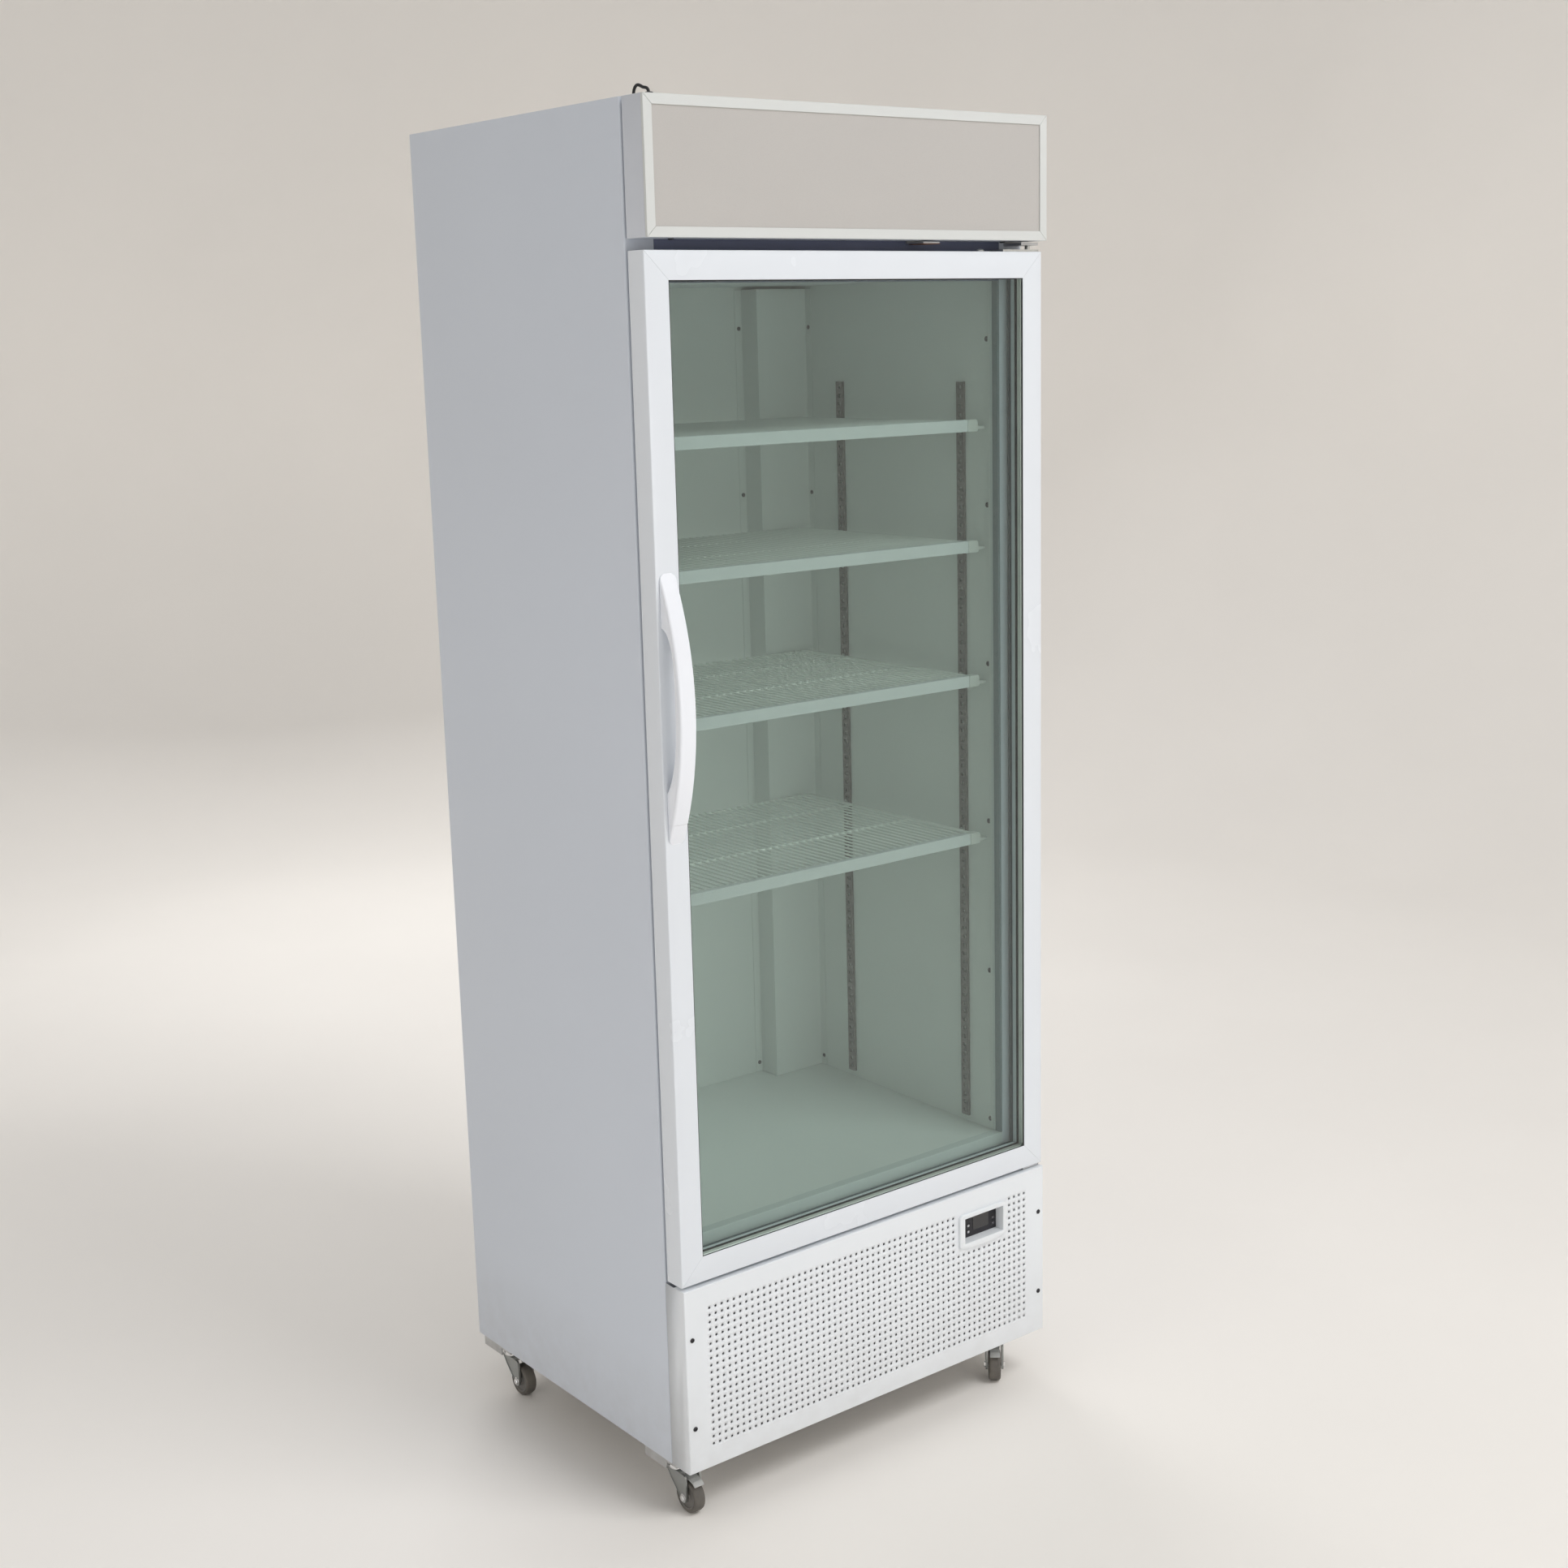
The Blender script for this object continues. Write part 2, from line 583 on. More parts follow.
def lower_panel():
    """A folded sheet: punched field, window for the controller, rounded folds and returned edges."""
    columns, rows = 58, 20
    pitch_x, pitch_z = 10.94 * MM, 11.12 * MM
    first_row_z, hole_r = 113 * MM, 2 * MM
    window_columns, window_rows = range(44, 54), range(14, 20)
    bm = bmesh.new()
    face_y = panel_low.y
    quarter = 4
    shares = [(1 + tan(radians(-45 + 90 * k / quarter))) / 2 for k in range(quarter)]
    left = -columns * pitch_x / 2
    base = first_row_z - pitch_z / 2
    made = {}

    def vertex(x, z):
        key = (round(x * 1e6), round(z * 1e6))
        if key not in made:
            made[key] = bm.verts.new((x, face_y, z))
        return made[key]

    def cell_side(x, z, across, up):
        """The vertices of a cell's side, where rays at equal angles from its middle meet it."""
        return [vertex(x + across * share, z + up * share) for share in shares]

    for i in range(columns):
        for j in range(rows):
            if i in window_columns and j in window_rows:
                continue
            x, z = left + i * pitch_x, base + j * pitch_z
            x1, z1 = x + pitch_x, z + pitch_z
            outer = (cell_side(x, z, pitch_x, 0) + cell_side(x1, z, 0, pitch_z)
                     + cell_side(x1, z1, -pitch_x, 0) + cell_side(x, z1, 0, -pitch_z))
            angles = [radians(-135 + 90 * k / quarter) for k in range(4 * quarter)]
            middle_x, middle_z = x + pitch_x / 2, z + pitch_z / 2
            inner = [vertex(middle_x + hole_r * cos(a), middle_z + hole_r * sin(a)) for a in angles]
            skin(bm, [outer, inner], caps=False)

    def run(x0, z0, x1, z1, count):
        """The vertices along a straight side of whole cells, from corner to corner."""
        across, up = (x1 - x0) / count, (z1 - z0) / count
        cells = [cell_side(x0 + across * n, z0 + up * n, across, up) for n in range(count)]
        return sum(cells, []) + [vertex(x1, z1)]

    right, top = -left, base + rows * pitch_z
    block_x0 = left + window_columns[0] * pitch_x
    block_x1 = left + (window_columns[-1] + 1) * pitch_x
    block_z0 = base + window_rows[0] * pitch_z

    fold_r = 2.2 * MM
    flat = rectangle(panel_low.x + fold_r, panel_low.z + fold_r, panel_high.x - fold_r, panel_high.z - fold_r)
    corners = [vertex(*q) for q in flat]
    upper = (run(right, top, block_x1, top, columns - window_columns[-1] - 1)
             + run(block_x0, top, left, top, window_columns[0]))
    field = [run(left, base, right, base, columns), run(right, base, right, top, rows), upper,
             run(left, top, left, base, rows)]
    for i, side in enumerate(field):
        bm.faces.new((corners[i], corners[(i + 1) % 4], *reversed(side)))

    window_low, window_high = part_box("controller")
    rim = 4 * MM
    window = [vertex(x, z) for x, z in rectangle(window_low.x - rim, window_low.z - rim, window_high.x + rim,
                                                 window_high.z + rim)]
    up, across = len(window_rows), len(window_columns)
    block_sides = [run(block_x0, block_z0, block_x1, block_z0, across),
                   run(block_x1, block_z0, block_x1, top, up),
                   [vertex(block_x1, top), vertex(block_x0, top)],
                   run(block_x0, top, block_x0, block_z0, up)]
    for i, side in enumerate(block_sides):
        bm.faces.new((*side, window[(i + 1) % 4], window[i]))

    ring = corners
    for k in range(1, 6):
        angle = pi / 10 * k
        spread, back = fold_r * sin(angle), fold_r * (1 - cos(angle))
        signs = ((-1, -1), (1, -1), (1, 1), (-1, 1))
        following = [bm.verts.new((q[0] + s[0] * spread, face_y + back, q[1] + s[1] * spread))
                     for q, s in zip(flat, signs)]
        skin(bm, [ring, following], caps=False)
        ring = following
    shallow = [bm.verts.new((v.co.x, face_y + 25 * MM, v.co.z)) for v in ring]
    skin(bm, [ring, shallow], caps=False)
    deep = [bm.verts.new((v.co.x, panel_high.y, v.co.z)) for v in shallow]
    bm.faces.new((shallow[1], shallow[2], deep[2], deep[1]))
    bm.faces.new((shallow[3], shallow[0], deep[0], deep[3]))
    add("perforated_panel", bm, white_steel, "white_steel", ["lower_panel"], sheet=1.2, smooth_angle=50)


def ray_outline(points, centre, angles):
    """The outline's points where rays from the centre at the given angles meet it."""
    found = []
    for angle in angles:
        d = Vector((cos(angle), sin(angle)))
        best = None
        for i, a in enumerate(points):
            a = Vector(a) - centre
            edge = Vector(points[(i + 1) % len(points)]) - centre - a
            cross = d.x * edge.y - d.y * edge.x
            if abs(cross) < 1e-12:
                continue
            reach = (a.x * edge.y - a.y * edge.x) / cross
            share = (a.x * d.y - a.y * d.x) / cross
            if reach > 0 and -1e-9 <= share <= 1 + 1e-9:
                best = reach if best is None else max(best, reach)
        found.append(centre + d * best)
    return found


def bezel():
    """The controller's surround: soft corners, a curved lower edge and a deep window."""
    low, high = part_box("display_bezel")
    face_low, face_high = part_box("controller")
    gap = 0.1 * MM
    window = rectangle(face_low.x - gap, face_low.z - gap, face_high.x + gap, face_high.z + gap, 0.8 * MM, 3)
    x0, x1, z1 = low.x, high.x, high.z
    bulge_r = 230 * MM
    centre_x = (x0 + x1) / 2
    lower = []
    for k in range(25):
        x = x0 + (x1 - x0) * k / 24
        lower.append((x, low.z + bulge_r - sqrt(bulge_r ** 2 - (x - centre_x) ** 2)))
    radii = mm(5, *[0] * 23, 5, 7, 7)
    outer = filleted(lower + [(x1, z1), (x0, z1)], radii, 6)
    centre = Vector(((face_low.x + face_high.x) / 2, (face_low.z + face_high.z) / 2))
    angles = sorted([2 * pi * k / 120 for k in range(120)]
                    + [atan2(p[1] - centre.y, p[0] - centre.x) % (2 * pi) for p in window])
    outside = ray_outline(outer, centre, angles)
    inside = ray_outline(window, centre, angles)

    def between(share, shrink=0.0):
        return [o + (i - o) * share + (centre - o).normalized() * shrink for o, i in zip(outside, inside)]

    def widened(by):
        return [i + (i - centre).normalized() * by for i in inside]

    levels = [(low.y + 4 * MM, between(0)), (low.y + 1.6 * MM, between(0)),
              (low.y + 0.5 * MM, between(0, 0.7 * MM)), (low.y, between(0, 2.2 * MM)),
              (low.y, widened(1.4 * MM)), (low.y + 0.35 * MM, widened(0.4 * MM)), (low.y + 1.2 * MM, inside),
              (high.y, inside), (high.y, widened(3.6 * MM)), (low.y + 4 * MM, widened(3.6 * MM))]
    bm = bmesh.new()
    skin(bm, [[bm.verts.new((p.x, y, p.y)) for p in ring] for y, ring in levels], closed=True)
    add("controller_surround", bm, bezel_white, "bezel_white", ["display_bezel"])


def controller():
    """The black controller, a smooth window between its keys, and four domed keys."""
    dress("controller", display_black, 0.3)
    face_low, face_high = low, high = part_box("controller")
    bm = bmesh.new()
    margin = 31 * MM
    prism(bm, rectangle(low.x + margin, low.z + 9 * MM, high.x - 17 * MM, high.z - 9 * MM, 2 * MM), "y",
          low.y - 0.5 * MM, low.y + 0.4 * MM)
    add("display_window", bm, display_window, "display_black", bevel=0.25)
    marks = {"key_light": rectangle(-2.2, -1.6, 2.2, 2.0, 1.6),
             "key_set": rectangle(-1.9, -1.7, 1.9, 1.7, 0.5),
             "key_up": [(-2.1, -1.3), (2.1, -1.3), (0, 1.9)],
             "key_down": [(-2.1, 1.5), (0, -1.7), (2.1, 1.5)]}
    for key in marks:
        low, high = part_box(key)
        bm = bmesh.new()
        rings = []
        for y, inset, radius in ((high.y, 0, 1.2), (low.y + 0.5 * MM, 0, 1.2), (low.y + 0.15 * MM, 0.25, 1.1),
                                 (low.y, 0.8, 0.9)):
            inset *= MM
            outline = rectangle(low.x + inset, low.z + inset, high.x - inset, high.z - inset, radius * MM)
            rings.append([bm.verts.new((p[0], y, p[1])) for p in outline])
        skin(bm, rings)
        add(key + "_cap", bm, key_black, "key_grey", [key], key)
        x, z = (low.x + high.x) / 2, (low.z + high.z) / 2
        bm = bmesh.new()
        prism(bm, [(x + p[0] * MM, z + p[1] * MM) for p in marks[key]], "y", low.y - 0.15 * MM,
              low.y + 0.1 * MM)
        finish = mark_pale if x < (face_low.x + face_high.x) / 2 else mark_dim
        add(key + "_mark", bm, finish, "key_grey", body=key)


# ---- interior ----


def interior():
    """Liner, rim, rails and clips keep their CAD shapes; finishes and soft edges are added."""
    for node, finish, slot, bevel in (
            ("inner_liner", liner_white, "liner_white", 0), ("duct_cover", liner_white, "liner_white", 0.8),
            ("shelf_clips", clip_zinc, "screw_steel", 0.4), ("interior_lamp", opal, "lamp_glass", 0.8),
            ("evaporator_cover", white_steel, "liner_white", 0.3),
            ("evaporator_coil", fin_aluminium, "coil_aluminium", 0),
            ("evaporator_fan_motor", motor_black, "motor_steel", 0.8),
            ("evaporator_fan_blades", fan_black, "fan_plastic", 0.3)):
        dress(node, finish, bevel)
    dress("shelf_rails", rail_steel, 0.25, 1)
    liner_low, liner_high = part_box("inner_liner")
    bm = bmesh.new()
    for sign in (-1, 1):
        wall = sign * (liner_high.x - 1.2 * MM)
        inner = wall - sign * 2.2 * MM
        y = liner_low.y
        outline = filleted([(wall, y), (inner, y), (inner, y + 5 * MM), (wall, y + 7 * MM)],
                           [0, 1 * MM, 1.5 * MM, 0], 3)
        prism(bm, outline, "z", liner_low.z + 5 * MM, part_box("duct_cover")[1].z - 3 * MM)
    add("liner_edge_beads", bm, liner_white, "liner_white", bevel=0.2)


def rim():
    """The trim round the opening: a pale throat at the sides and the floor, and the header over the door."""
    low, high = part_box("front_rim")
    floor_z, ceiling_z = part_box("duct_cover")[0].z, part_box("duct_cover")[1].z + 1 * MM
    front, back, gauge = low.y, high.y, 1.2 * MM
    seat = front + 12 * MM
    bm, seats = bmesh.new(), bmesh.new()
    for sign in (-1, 1):
        x0, x1 = sorted((sign * (high.x - 4 * MM), sign * high.x))
        block(bm, (x0, seat, floor_z + 3.1 * MM), (x1, back, ceiling_z - 4.1 * MM))
        block(seats, (x0, front, floor_z + 3.1 * MM), (x1, seat, ceiling_z - 4.1 * MM))
    add("rim_seats", seats, rim_seat, "rim_plastic", ["front_rim"], bevel=0.4)
    prism(bm, [(front, low.z), (front + gauge, low.z), (front + gauge, floor_z - 1 * MM),
               (back, floor_z - 1 * MM), (back, floor_z + 3 * MM), (front, floor_z + 3 * MM)],
          "x", low.x, high.x)
    add("rim_throat", bm, rim_throat, "rim_plastic", ["front_rim"], bevel=0.6)
    bm = bmesh.new()
    prism(bm, [(front, ceiling_z - 4 * MM), (back, ceiling_z - 4 * MM), (back, ceiling_z),
               (front + gauge, ceiling_z), (front + gauge, high.z), (front, high.z)], "x", low.x, high.x)
    add("rim_header", bm, rim_header, "rim_plastic", ["front_rim"], bevel=0.4)


def shelf(name):
    """A dipped-wire shelf: fine wires on heavier cross wires, with a flat front lip and its end plugs."""
    low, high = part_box(name)
    top = high.z - 2 * MM
    lip_h = 18 * MM
    lip_z0 = high.z - lip_h
    lip_y0, lip_y1 = low.y, low.y + 11.9 * MM
    half, tab = 291 * MM, high.x
    front, rear = lip_y1 - 1 * MM, high.y
    wire_r, bar_r = 1.6 * MM, 2.1 * MM
    bm = bmesh.new()
    for i in range(-21, 22):
        x = i * 13.3 * MM
        path = [(x, front, top - 4.5 * MM), (x, front + 1.5 * MM, top - 2.2 * MM),
                (x, front + 4 * MM, top - wire_r), (x, rear - 1 * MM, top - wire_r)]
        tube(bm, path, wire_r, 8)
    bar_z = top - wire_r - bar_r * 0.75
    for y in (88.5, 232, 385, 497.5):
        rod(bm, (-half, depth(y), bar_z), (half, depth(y), bar_z), bar_r, 12)
    for x in (-half + bar_r, half - bar_r):
        rod(bm, (x, front, bar_z), (x, rear, bar_z), bar_r, 12)
    add(name + "_wires", bm, wire_white, "shelf_wire", [name], smooth_angle=60)

    bm = bmesh.new()
    bead = mm((0, 0), (2.1, 0.2), (2.3, 0.8), (1.5, 1.5), (0, 1.7))
    for y in (232, 385):
        for i in range(-21, 22):
            turned(bm, bead, (i * 13.3 * MM, depth(y), top - 1.6 * MM), (0, 0, 1), 10)
    add(name + "_welds", bm, weld_white, "shelf_wire", smooth_angle=60)

    plug = 271 * MM
    bm = bmesh.new()
    prism(bm, rectangle(-plug + 0.1 * MM, lip_z0, plug - 0.1 * MM, lip_z0 + lip_h), "y",
          lip_y0 + 0.4 * MM, lip_y1)
    add(name + "_lip", bm, lip_white, "shelf_wire", bevel=0.9)
    points = [(plug, 0), (half, 0), (half, 3.2 * MM), (tab, 3.6 * MM), (tab, 7.6 * MM), (half, 8.2 * MM),
              (half, lip_h), (plug, lip_h)]
    outline = filleted(points, mm(0, 2, 0.8, 1.5, 1.5, 0.8, 5, 0))
    bm = bmesh.new()
    for sign in (-1, 1):
        prism(bm, [(sign * p[0], p[1] + lip_z0) for p in outline], "y", lip_y0, lip_y1 - 0.2 * MM)
    add(name + "_lip_ends", bm, lip_end, "shelf_wire", bevel=0.5)


# ---- door ----


def door():
    """Mitred hollow members, black glazing beads, the spacer with its seam, and the ribbed seal."""
    y0, y1 = door_low.y, door_high.y
    pane_low, pane_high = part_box("glass_panes")
    width = 38 * MM
    edge = pane_low.x - door_low.x - 0.3 * MM
    pocket0, pocket1 = pane_low.y - 0.3 * MM, pane_high.y + 0.3 * MM
    bm = bmesh.new()
    step, step_y = width - 9 * MM, y0 + 26 * MM
    profile = filleted(
        [(y0, 0), (y1, 0), (y1, step), (step_y, step), (step_y, width), (pocket1, width), (pocket1, edge),
         (pocket0, edge), (pocket0, width), (y0, width)],
        mm(1.6, 1.2, 0.8, 1, 1.2, 0.4, 0, 0, 0.3, 0.7))
    mitred_ring(bm, profile, door_low, door_high)
    add("door_members", bm, door_white, "door_white", ["door_frame"], "door", smooth_angle=35)

    dress("glass_panes", clear_glass)

    bm = bmesh.new()
    front, rear = pane_low.y, pane_high.y
    strips = [(front, -1.0, -0.05, 37.2, 39.0), (rear, -4.3, -3.05, 38.3, 38.9),
              (rear, 0.05, 0.28, 36.0, 39.2)]
    for y, from_y, to_y, from_edge, to_edge in strips:
        outline = rectangle(y + from_y * MM, from_edge * MM, y + to_y * MM, to_edge * MM, 0.1 * MM, 2)
        mitred_ring(bm, outline, door_low, door_high, 0)
    add("glazing_beads", bm, seal_black, "cable_black", body="door", smooth_angle=50)

    low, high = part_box("glass_spacer")
    bm = bmesh.new()
    w = 9 * MM
    gap = 0.12 * MM
    mid = (low.y + high.y) / 2
    profile = filleted([(low.y + gap, 0), (high.y - gap, 0), (high.y - gap, w - 1.2 * MM),
                        (high.y - 1 * MM, w), (mid + 0.4 * MM, w), (mid, w - 0.5 * MM), (mid - 0.4 * MM, w),
                        (low.y + 1 * MM, w), (low.y + gap, w - 1.2 * MM)], [0] * 9)
    mitred_ring(bm, profile, low, high, 0.05 * MM)
    add("pane_spacer", bm, spacer_metal, "spacer_aluminium", ["glass_spacer"], "door", smooth_angle=35)

    low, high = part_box("door_gasket")
    bm = bmesh.new()
    steps = 24
    rear_line = []
    for k in range(steps + 1):
        share = k / steps
        ridge = 0.75 + 0.25 * cos(share * 6 * pi)
        height = (high.y - low.y) * ridge * (0.6 + 0.4 * sin(pi * share))
        rear_line.append((min(high.y, low.y + height), 16 * MM * share))
    profile = [(low.y, 0)] + rear_line + [(low.y, 16 * MM)]
    mitred_ring(bm, profile, low, high, 0)
    add("ribbed_seal", bm, gasket_grey, "gasket", ["door_gasket"], "door", smooth_angle=60)


def handle_section(outer, inner, half):
    """A closed horizontal section of the bow: soft front edges, a fine groove, square at the rear."""
    thick = inner - outer
    front = min(3.4 * MM, thick * 0.45, half * 0.8)
    rear = min(1.2 * MM, thick * 0.2, half * 0.4)
    crown = min(0.7 * MM, thick * 0.1)
    side = []
    for k in range(7):
        angle = pi / 2 * k / 6
        side.append((half - front * (1 - sin(angle)), outer + crown * 0.5 + front * (1 - cos(angle))))
    groove = min(0.45 * MM, thick * 0.08)
    start = side[-1][1]
    room = max(0.0, inner - rear - start)
    for share, dent in ((0.06, 0), (0.09, 1), (0.13, 1), (0.16, 0)):
        side.append((half - groove * dent, start + min(room, 18 * MM) * share))
    for k in range(4):
        angle = pi / 2 * k / 3
        side.append((half - rear + rear * cos(angle), inner - rear + rear * sin(angle)))
    right = [(half * 0.5, outer + crown * 0.12)] + side
    left = [(-x, y) for x, y in reversed(right)]
    return [(0, outer)] + right + left


def handle():
    """The bow handle and its cap, lofted from horizontal sections."""
    low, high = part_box("handle")
    cap_low, cap_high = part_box("handle_cap")
    seam = cap_high.z
    door_y = door_low.y
    centre_x = (low.x + high.x) / 2
    top, foot = high.z, cap_low.z
    middle, reach = (top + foot) / 2, (top - foot) / 2
    rise = door_y - low.y
    radius = (reach ** 2 + rise ** 2) / (2 * rise)
    grip, grip_rise = 111.5 * MM, 26 * MM
    end_r = 9 * MM

    def bow(z):
        return max(0.0, sqrt(radius ** 2 - (z - middle) ** 2) - (radius - rise))

    def opening(z):
        share = abs(z - middle) / grip
        if share >= 1:
            return 0.0
        blunt = 4.2 if z > middle else 2.5
        return grip_rise * (1 - share ** blunt) ** (0.55 if z > middle else 0.8)

    def half_width(z, half):
        into = max(0.0, abs(z - middle) - (reach - end_r))
        return half - end_r + sqrt(max(0.0, end_r ** 2 - into ** 2))

    def loft(z0, z1, half):
        bm = bmesh.new()
        stations = sorted({z0, z1, *[z0 + (z1 - z0) * k / 90 for k in range(91)],
                           *[z for edge in (-1, 1) for k in range(12)
                             for z in [middle + edge * grip * (1 - 0.08 * (k / 12) ** 2.2)] if z0 < z < z1]})
        rings = []
        for z in stations:
            out = max(bow(z), 0.5 * MM)
            back = door_y - max(0.05 * MM, opening(z))
            section = handle_section(door_y - out, back, half_width(z, half))
            rings.append([bm.verts.new((centre_x + p[0], p[1], z)) for p in section])
        skin(bm, rings)
        return bm

    half = (high.x - low.x) / 2
    add("bow_handle", loft(low.z, top - 0.2 * MM, half), handle_white, "handle_plastic", ["handle"],
        "door", smooth_angle=45)
    cap = loft(foot + 0.2 * MM, seam, half - 0.3 * MM)
    add("bow_handle_cap", cap, handle_white, "handle_plastic", ["handle_cap"], "door", smooth_angle=45)


def hinge():
    """Pressed hinge parts in the gap over the door, and the pad under the door stop."""
    dress("hinge_brackets", galvanised, 0.5)
    dress("hinge_plate", zinc, 0.5)
    bm = bmesh.new()
    block(bm, (127 * MM, depth(7.6), door_high.z + 9.8 * MM), (158 * MM, depth(40), door_high.z + 10.8 * MM))
    add("stop_pad", bm, primer_brown, "tray_plastic", bevel=0.3)


# ---- machine compartment ----


def machinery():
    """What shows through the perforation and the rear grille."""
    for node, finish, slot, bevel in (
            ("compressor", motor_black, "motor_steel", 0.6),
            ("condenser_coil", fin_aluminium, "coil_aluminium", 0),
            ("condenser_shroud", galvanised, "galvanised", 0.4),
            ("drip_tray", tray_black, "tray_plastic", 0.6),
            ("condenser_fan_motor", motor_black, "motor_steel", 0.8),
            ("condenser_fan_blades", fan_black, "fan_plastic", 0.3)):
        dress(node, finish, bevel)
    low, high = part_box("compressor")
    centre = (low + high) / 2
    bm = bmesh.new()
    bend = 26 * MM
    for offset, height, radius in ((-34, 150, 4.2), (20, 110, 3.2), (44, 178, 4.2)):
        x, y = low.x - 6 * MM, centre.y + offset * MM
        path = [(low.x + 22 * MM, y, low.z + 70 * MM)]
        for k in range(9):
            angle = pi / 2 * k / 8
            path.append((x + 2 * MM - bend * sin(angle) + 10 * MM, y,
                         low.z + 70 * MM + bend * (1 - cos(angle))))
        path.append((path[-1][0], y, low.z + height * MM))
        tube(bm, path, radius * MM, 12)
    add("compressor_pipes", bm, copper, "coil_aluminium", smooth_angle=60)


# ---- casters ----


def hexagon(bm, centre, axis, across, height):
    """A hexagonal nut with chamfered faces."""
    turned(bm, [(0, 0), (across * 0.5, 0), (across * 0.56, height * 0.18), (across * 0.56, height * 0.8),
                (across * 0.48, height), (0, height)], centre, axis, 6)


def caster(code):
    """One caster below its bracket: ball race, pressed fork, axle, tyre, hub, and a pedal if it has one."""
    swivel = Vector(joints[f"swivel_{code}_turn"]["pos_m"])
    roll = joints[f"wheel_{code}_roll"]
    axle = Vector(roll["pos_m"])
    across = Vector(roll["axis"]).normalized()
    trail = Vector((swivel.x - axle.x, swivel.y - axle.y, 0))
    ahead = trail.normalized()
    place = Matrix.Translation((swivel.x, swivel.y, 0)) @ Matrix((
        (across.x, ahead.x, 0, 0), (across.y, ahead.y, 0, 0), (0, 0, 1, 0), (0, 0, 0, 1)))
    axle_y, axle_z = -trail.length, axle.z
    crown = 62 * MM
    leg_x, leg_t = mm(11, 2.5)
    leg_out = leg_x + leg_t
    axle_at = (0, axle_y, axle_z)

    def fit(part, bm, finish, body, slot, replaced=(), **look):
        """Adds a part that was drawn with its swivel at the origin and the wheel trailing along -Y."""
        bmesh.ops.transform(bm, matrix=place, verts=bm.verts)
        replaced = [f"{name}_{code}" for name in replaced]
        add(f"{part}_{code}", bm, finish, slot, replaced, f"{body}_{code}", **look)

    bm = bmesh.new()
    leg = filleted([(16, 61.9), (-32, 61.9), (-33, 44), (-33, 25), (-30, 17.5), (-20, 17.5), (-17, 25),
                    (4, 46)], [2, 5, 4, 5, 5, 5, 5, 12], 5)
    for x in (-leg_out, leg_x):
        prism(bm, mm(*leg), "x", x, x + leg_t)
    centre = Vector((-12, 42))
    inside = [centre + (p - centre) * (1 - 2.2 / (p - centre).length) for p in leg]
    for sign in (-1, 1):
        x = sign * leg_out
        rim_x = x + sign * 0.9 * MM
        rings = [[bm.verts.new((at, p[0] * MM, p[1] * MM)) for p in loop]
                 for at, loop in ((x, leg), (rim_x, leg), (rim_x, inside), (x, inside))]
        skin(bm, rings, closed=True)
    prism(bm, rectangle(-leg_out, -24 * MM, leg_out, 16 * MM, 3 * MM), "z", crown - 2.5 * MM,
          crown - 0.02 * MM)
    fit("fork_legs", bm, fork_zinc, "swivel", "caster_zinc", ["caster_fork"], bevel=0.8)

    bm = bmesh.new()
    race = [(5.1, 0), (15, 0), (17.2, 1), (18, 2.6), (18, 5.6), (17.2, 7), (16.2, 7.4), (16.2, 8.2),
            (15.6, 9.9), (5.1, 9.9)]
    turned(bm, [(p[0] * MM, crown + p[1] * MM) for p in race], (0, 0, 0), (0, 0, 1), 64, closed=True)
    for sign in (-1, 1):
        washer = mm((0, 0), (6.4, 0), (6.4, 0.7), (0, 0.7))
        turned(bm, washer, (sign * leg_out, axle_y, axle_z), (sign, 0, 0))
        hexagon(bm, (sign * (leg_out + 0.7 * MM), axle_y, axle_z), (sign, 0, 0), 9 * MM, 2.6 * MM)
    fit("ball_race", bm, chrome, "swivel", "caster_zinc", smooth_angle=30)

    bm = bmesh.new()
    rod(bm, (-leg_x, axle_y, axle_z), (leg_x, axle_y, axle_z), 2.95 * MM, 24)
    fit("axle", bm, zinc, "swivel", "caster_zinc")

    bm = bmesh.new()
    tyre = [(19, -8.2), (21, -9.5), (22.6, -9.3), (24.2, -8), (24.9, -5.5), (25, -2), (25, 2), (24.9, 5.5),
            (24.2, 8), (22.6, 9.3), (21, 9.5), (19, 8.2)]
    tyre = [(p[0] / 25 * axle_z, p[1] * MM) for p in tyre]
    turned(bm, tyre, axle_at, (1, 0, 0), 96, closed=True)
    fit("tyre", bm, tread_black, "wheel", "caster_tread", ["wheel"], smooth_angle=50)

    bm = bmesh.new()
    hub = [(3.05, -9.5), (7, -9.5), (8, -8.8), (8.6, -7.2), (16.6, -6.8), (17.6, -8.4), (19.2, -8.6),
           (19.2, 8.6), (17.6, 8.4), (16.6, 6.8), (8.6, 7.2), (8, 8.8), (7, 9.5), (3.05, 9.5)]
    turned(bm, mm(*hub), axle_at, (1, 0, 0), 64, closed=True)
    fit("hub", bm, hub_grey, "wheel", "caster_tread")

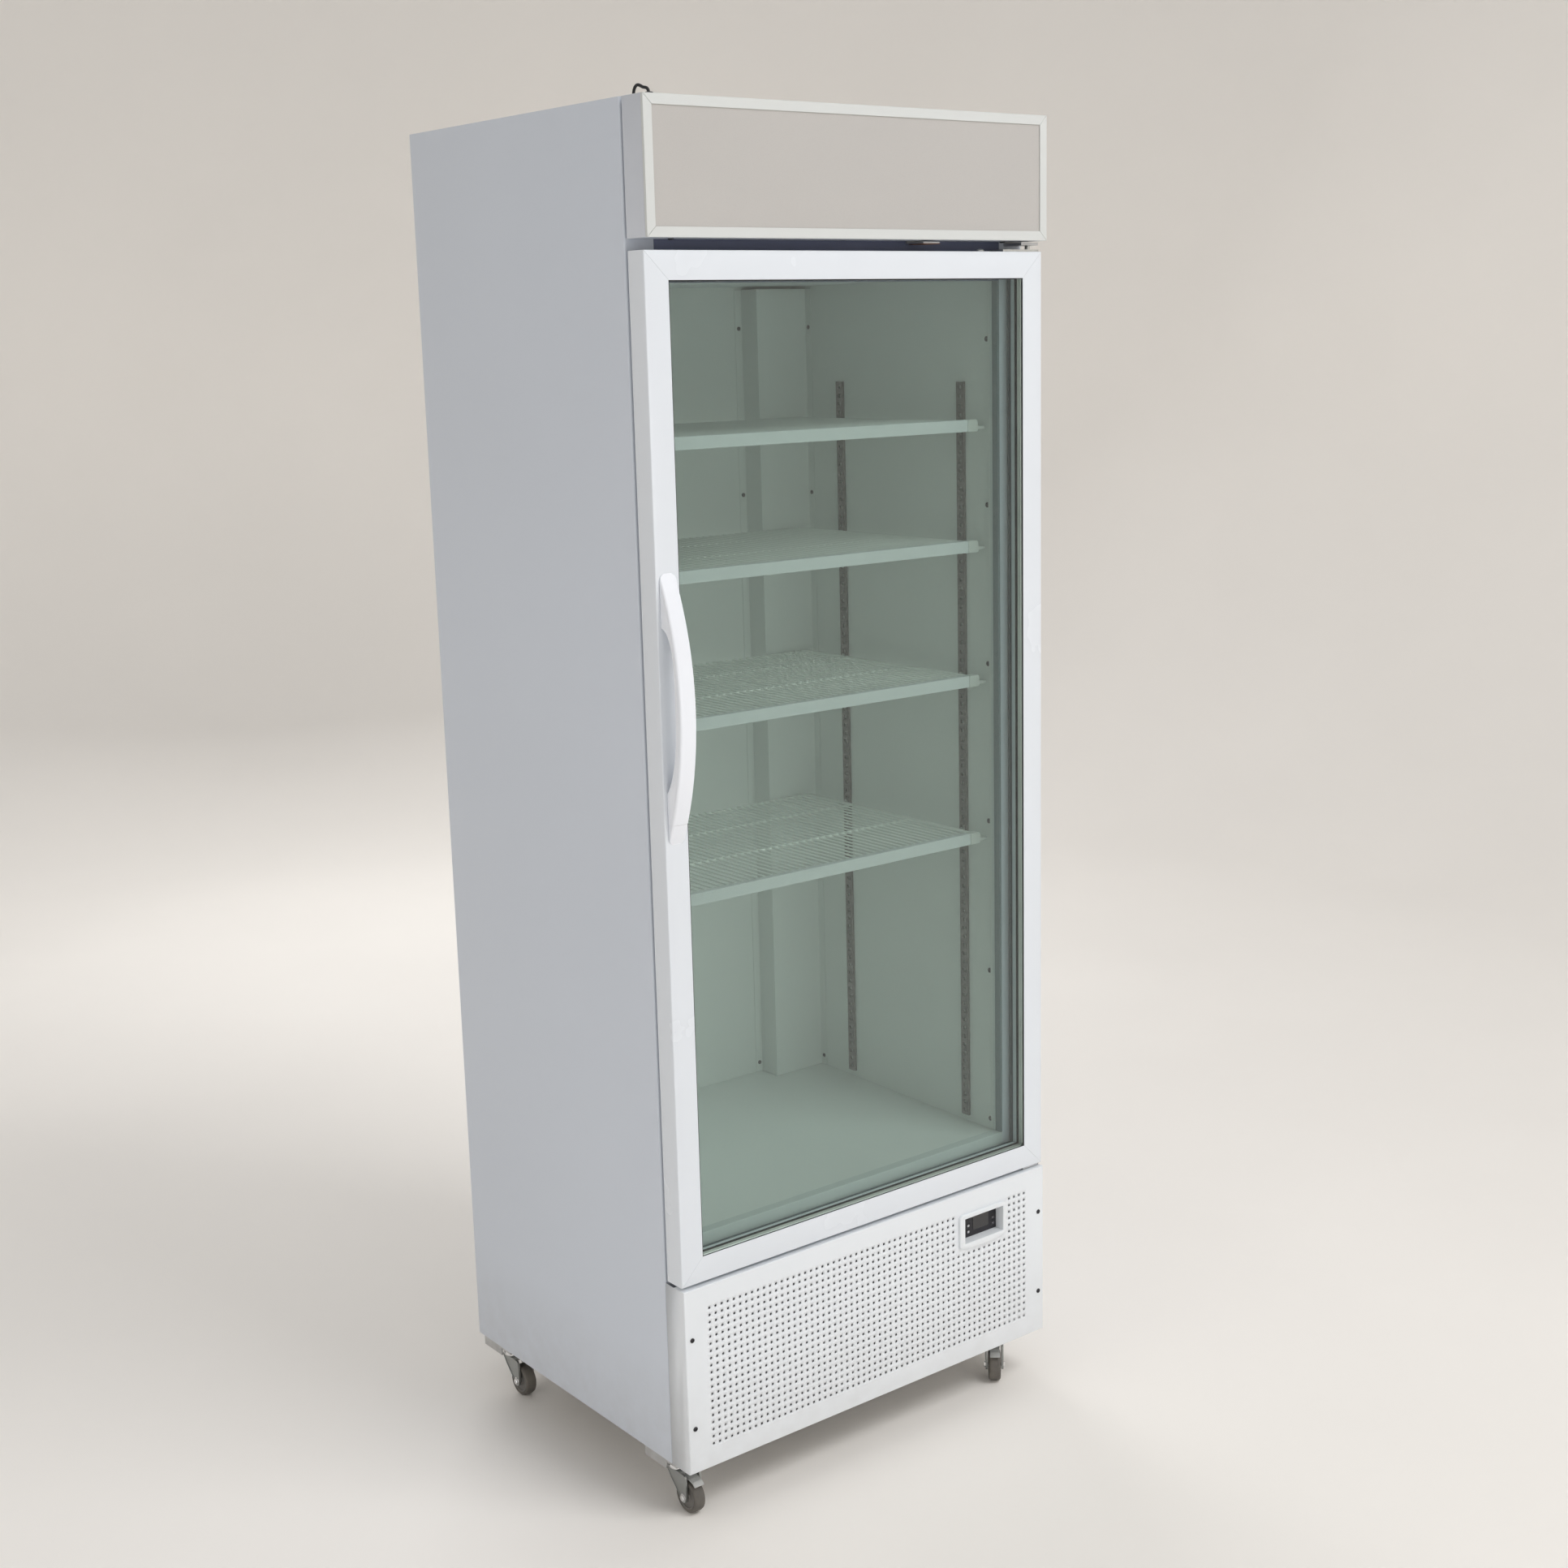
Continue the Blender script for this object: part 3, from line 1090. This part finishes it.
    if f"brake_{code}" not in frame["bodies"]:
        return
    bm = bmesh.new()
    pivot = (-21, 55)
    pedal = [(0, 3.2), (-13, 2), (-22, -0.9), (-27, -5.8), (-27, -7), (-25, -7.4), (-20.5, -3.4), (-12, -1.2),
             (-3, -3)]
    prism(bm, [((pivot[0] + p[0]) * MM, (pivot[1] + p[1]) * MM)
               for p in filleted(pedal, [0, 4, 4, 0.5, 0.5, 0.5, 3, 3, 1])], "x", -8 * MM, 8 * MM)
    for x in (-8.6, 6.6):
        turned(bm, mm((2.1, 0), (3.2, 0), (3.2, 2), (2.1, 2)), mm(x, *pivot), (1, 0, 0), closed=True)
    for k in range(4):
        y = (pivot[0] - 14.5 - k * 2.2) * MM
        z = (pivot[1] + 1.4 - k * 0.72) * MM
        rod(bm, (-6.5 * MM, y, z), (6.5 * MM, y, z), 0.55 * MM, 8)
    fit("pedal", bm, pedal_grey, "brake", "pedal_grey", ["brake"], bevel=0.5)


# ---- studio ----


def studio():
    """Pale seamless floor and wall, soft lights, and the camera."""
    bm = bmesh.new()
    floor_r, curve_r, wall_h = 5.0, 1.6, 4.5
    profile = [(0, 0), (1.5, 0), (3, 0), (floor_r - curve_r, 0)]
    for k in range(1, 13):
        angle = pi / 2 * k / 12
        profile.append((floor_r - curve_r + curve_r * sin(angle), curve_r * (1 - cos(angle))))
    profile.append((floor_r, wall_h))
    turned(bm, profile, (0, 0.4, 0), (0, 0, 1), 96)
    paper = finish_of("backdrop", (0.93, 0.90, 0.86), 0.75, mottle=0.02, mottle_scale=1.2, grain=0.02,
                      grain_scale=300, specular=0.2)
    backdrop = linked("backdrop", bm, paper)

    def area(name, at, target, width, height, watts, colour=(1, 1, 1)):
        light = bpy.data.lights.new(name, "AREA")
        light.shape = "RECTANGLE"
        light.size, light.size_y = width, height
        light.energy = watts
        light.color = colour
        lamp = bpy.data.objects.new(name, light)
        lamp.location = at
        lamp.rotation_euler = (Vector(target) - Vector(at)).to_track_quat("-Z", "Y").to_euler()
        lamp.visible_camera = False
        bpy.context.scene.collection.objects.link(lamp)

    middle = (0, 0, 1.0)
    area("key", (1.3, -3.5, 5.2), (0, 0, 0.7), 2.4, 2.4, 132)
    area("front_low", (-0.2, -3.9, 0.9), (0, 0, 0.3), 2.4, 1.4, 17)
    area("side_fill", (-3.6, -0.6, 1.4), (0, 0, 1.0), 2.2, 2.2, 13, (0.95, 0.975, 1))
    area("rear_fill", (1.2, 3.6, 2.6), middle, 2.2, 2.2, 52)

    # The room's light is dim at eye level, which the door glass mirrors, and grows towards the ceiling.
    world = bpy.data.worlds.new("soft_room")
    world.use_nodes = True
    tree = world.node_tree
    height = shader_node(tree, "SeparateXYZ", "Z", Vector=shader_node(tree, "TexCoord", "Generated"))
    strength = shader_node(tree, "MapRange", "Result", (height, 0.2, 0.9, 0.08, 0.40))
    background = tree.nodes["Background"].inputs
    background["Color"].default_value = (0.78, 0.80, 0.83, 1)
    tree.links.new(strength, background["Strength"])
    bpy.context.scene.world = world
    bpy.context.scene.view_settings.view_transform = "Standard"

    camera = bpy.data.objects.new("camera", bpy.data.cameras.new("camera"))
    bpy.context.scene.collection.objects.link(camera)
    bpy.context.scene.camera = camera
    camera.data.sensor_width = 36
    camera.data.lens = 48.855
    heading, tilt, roll = 37.812, -11.906, -1.460
    camera.location = (-1.9384, -2.5831, 1.6779)
    camera.rotation_mode = "QUATERNION"
    turn = (Matrix.Rotation(radians(-heading), 3, "Z") @ Matrix.Rotation(radians(90 + tilt), 3, "X")
            @ Matrix.Rotation(radians(roll), 3, "Z"))
    camera.rotation_quaternion = turn.to_quaternion()


side_skins()
rear_sheets()
screws()
lightbox()
lead_and_grommets()
lower_panel()
bezel()
controller()
interior()
rim()
for number in (1, 2, 3, 4):
    shelf(f"shelf_{number}")
door()
handle()
hinge()
machinery()
dress("caster_brackets", galvanised, 0.5)
for code in ("fl", "fr", "rl", "rr"):
    caster(code)
studio()
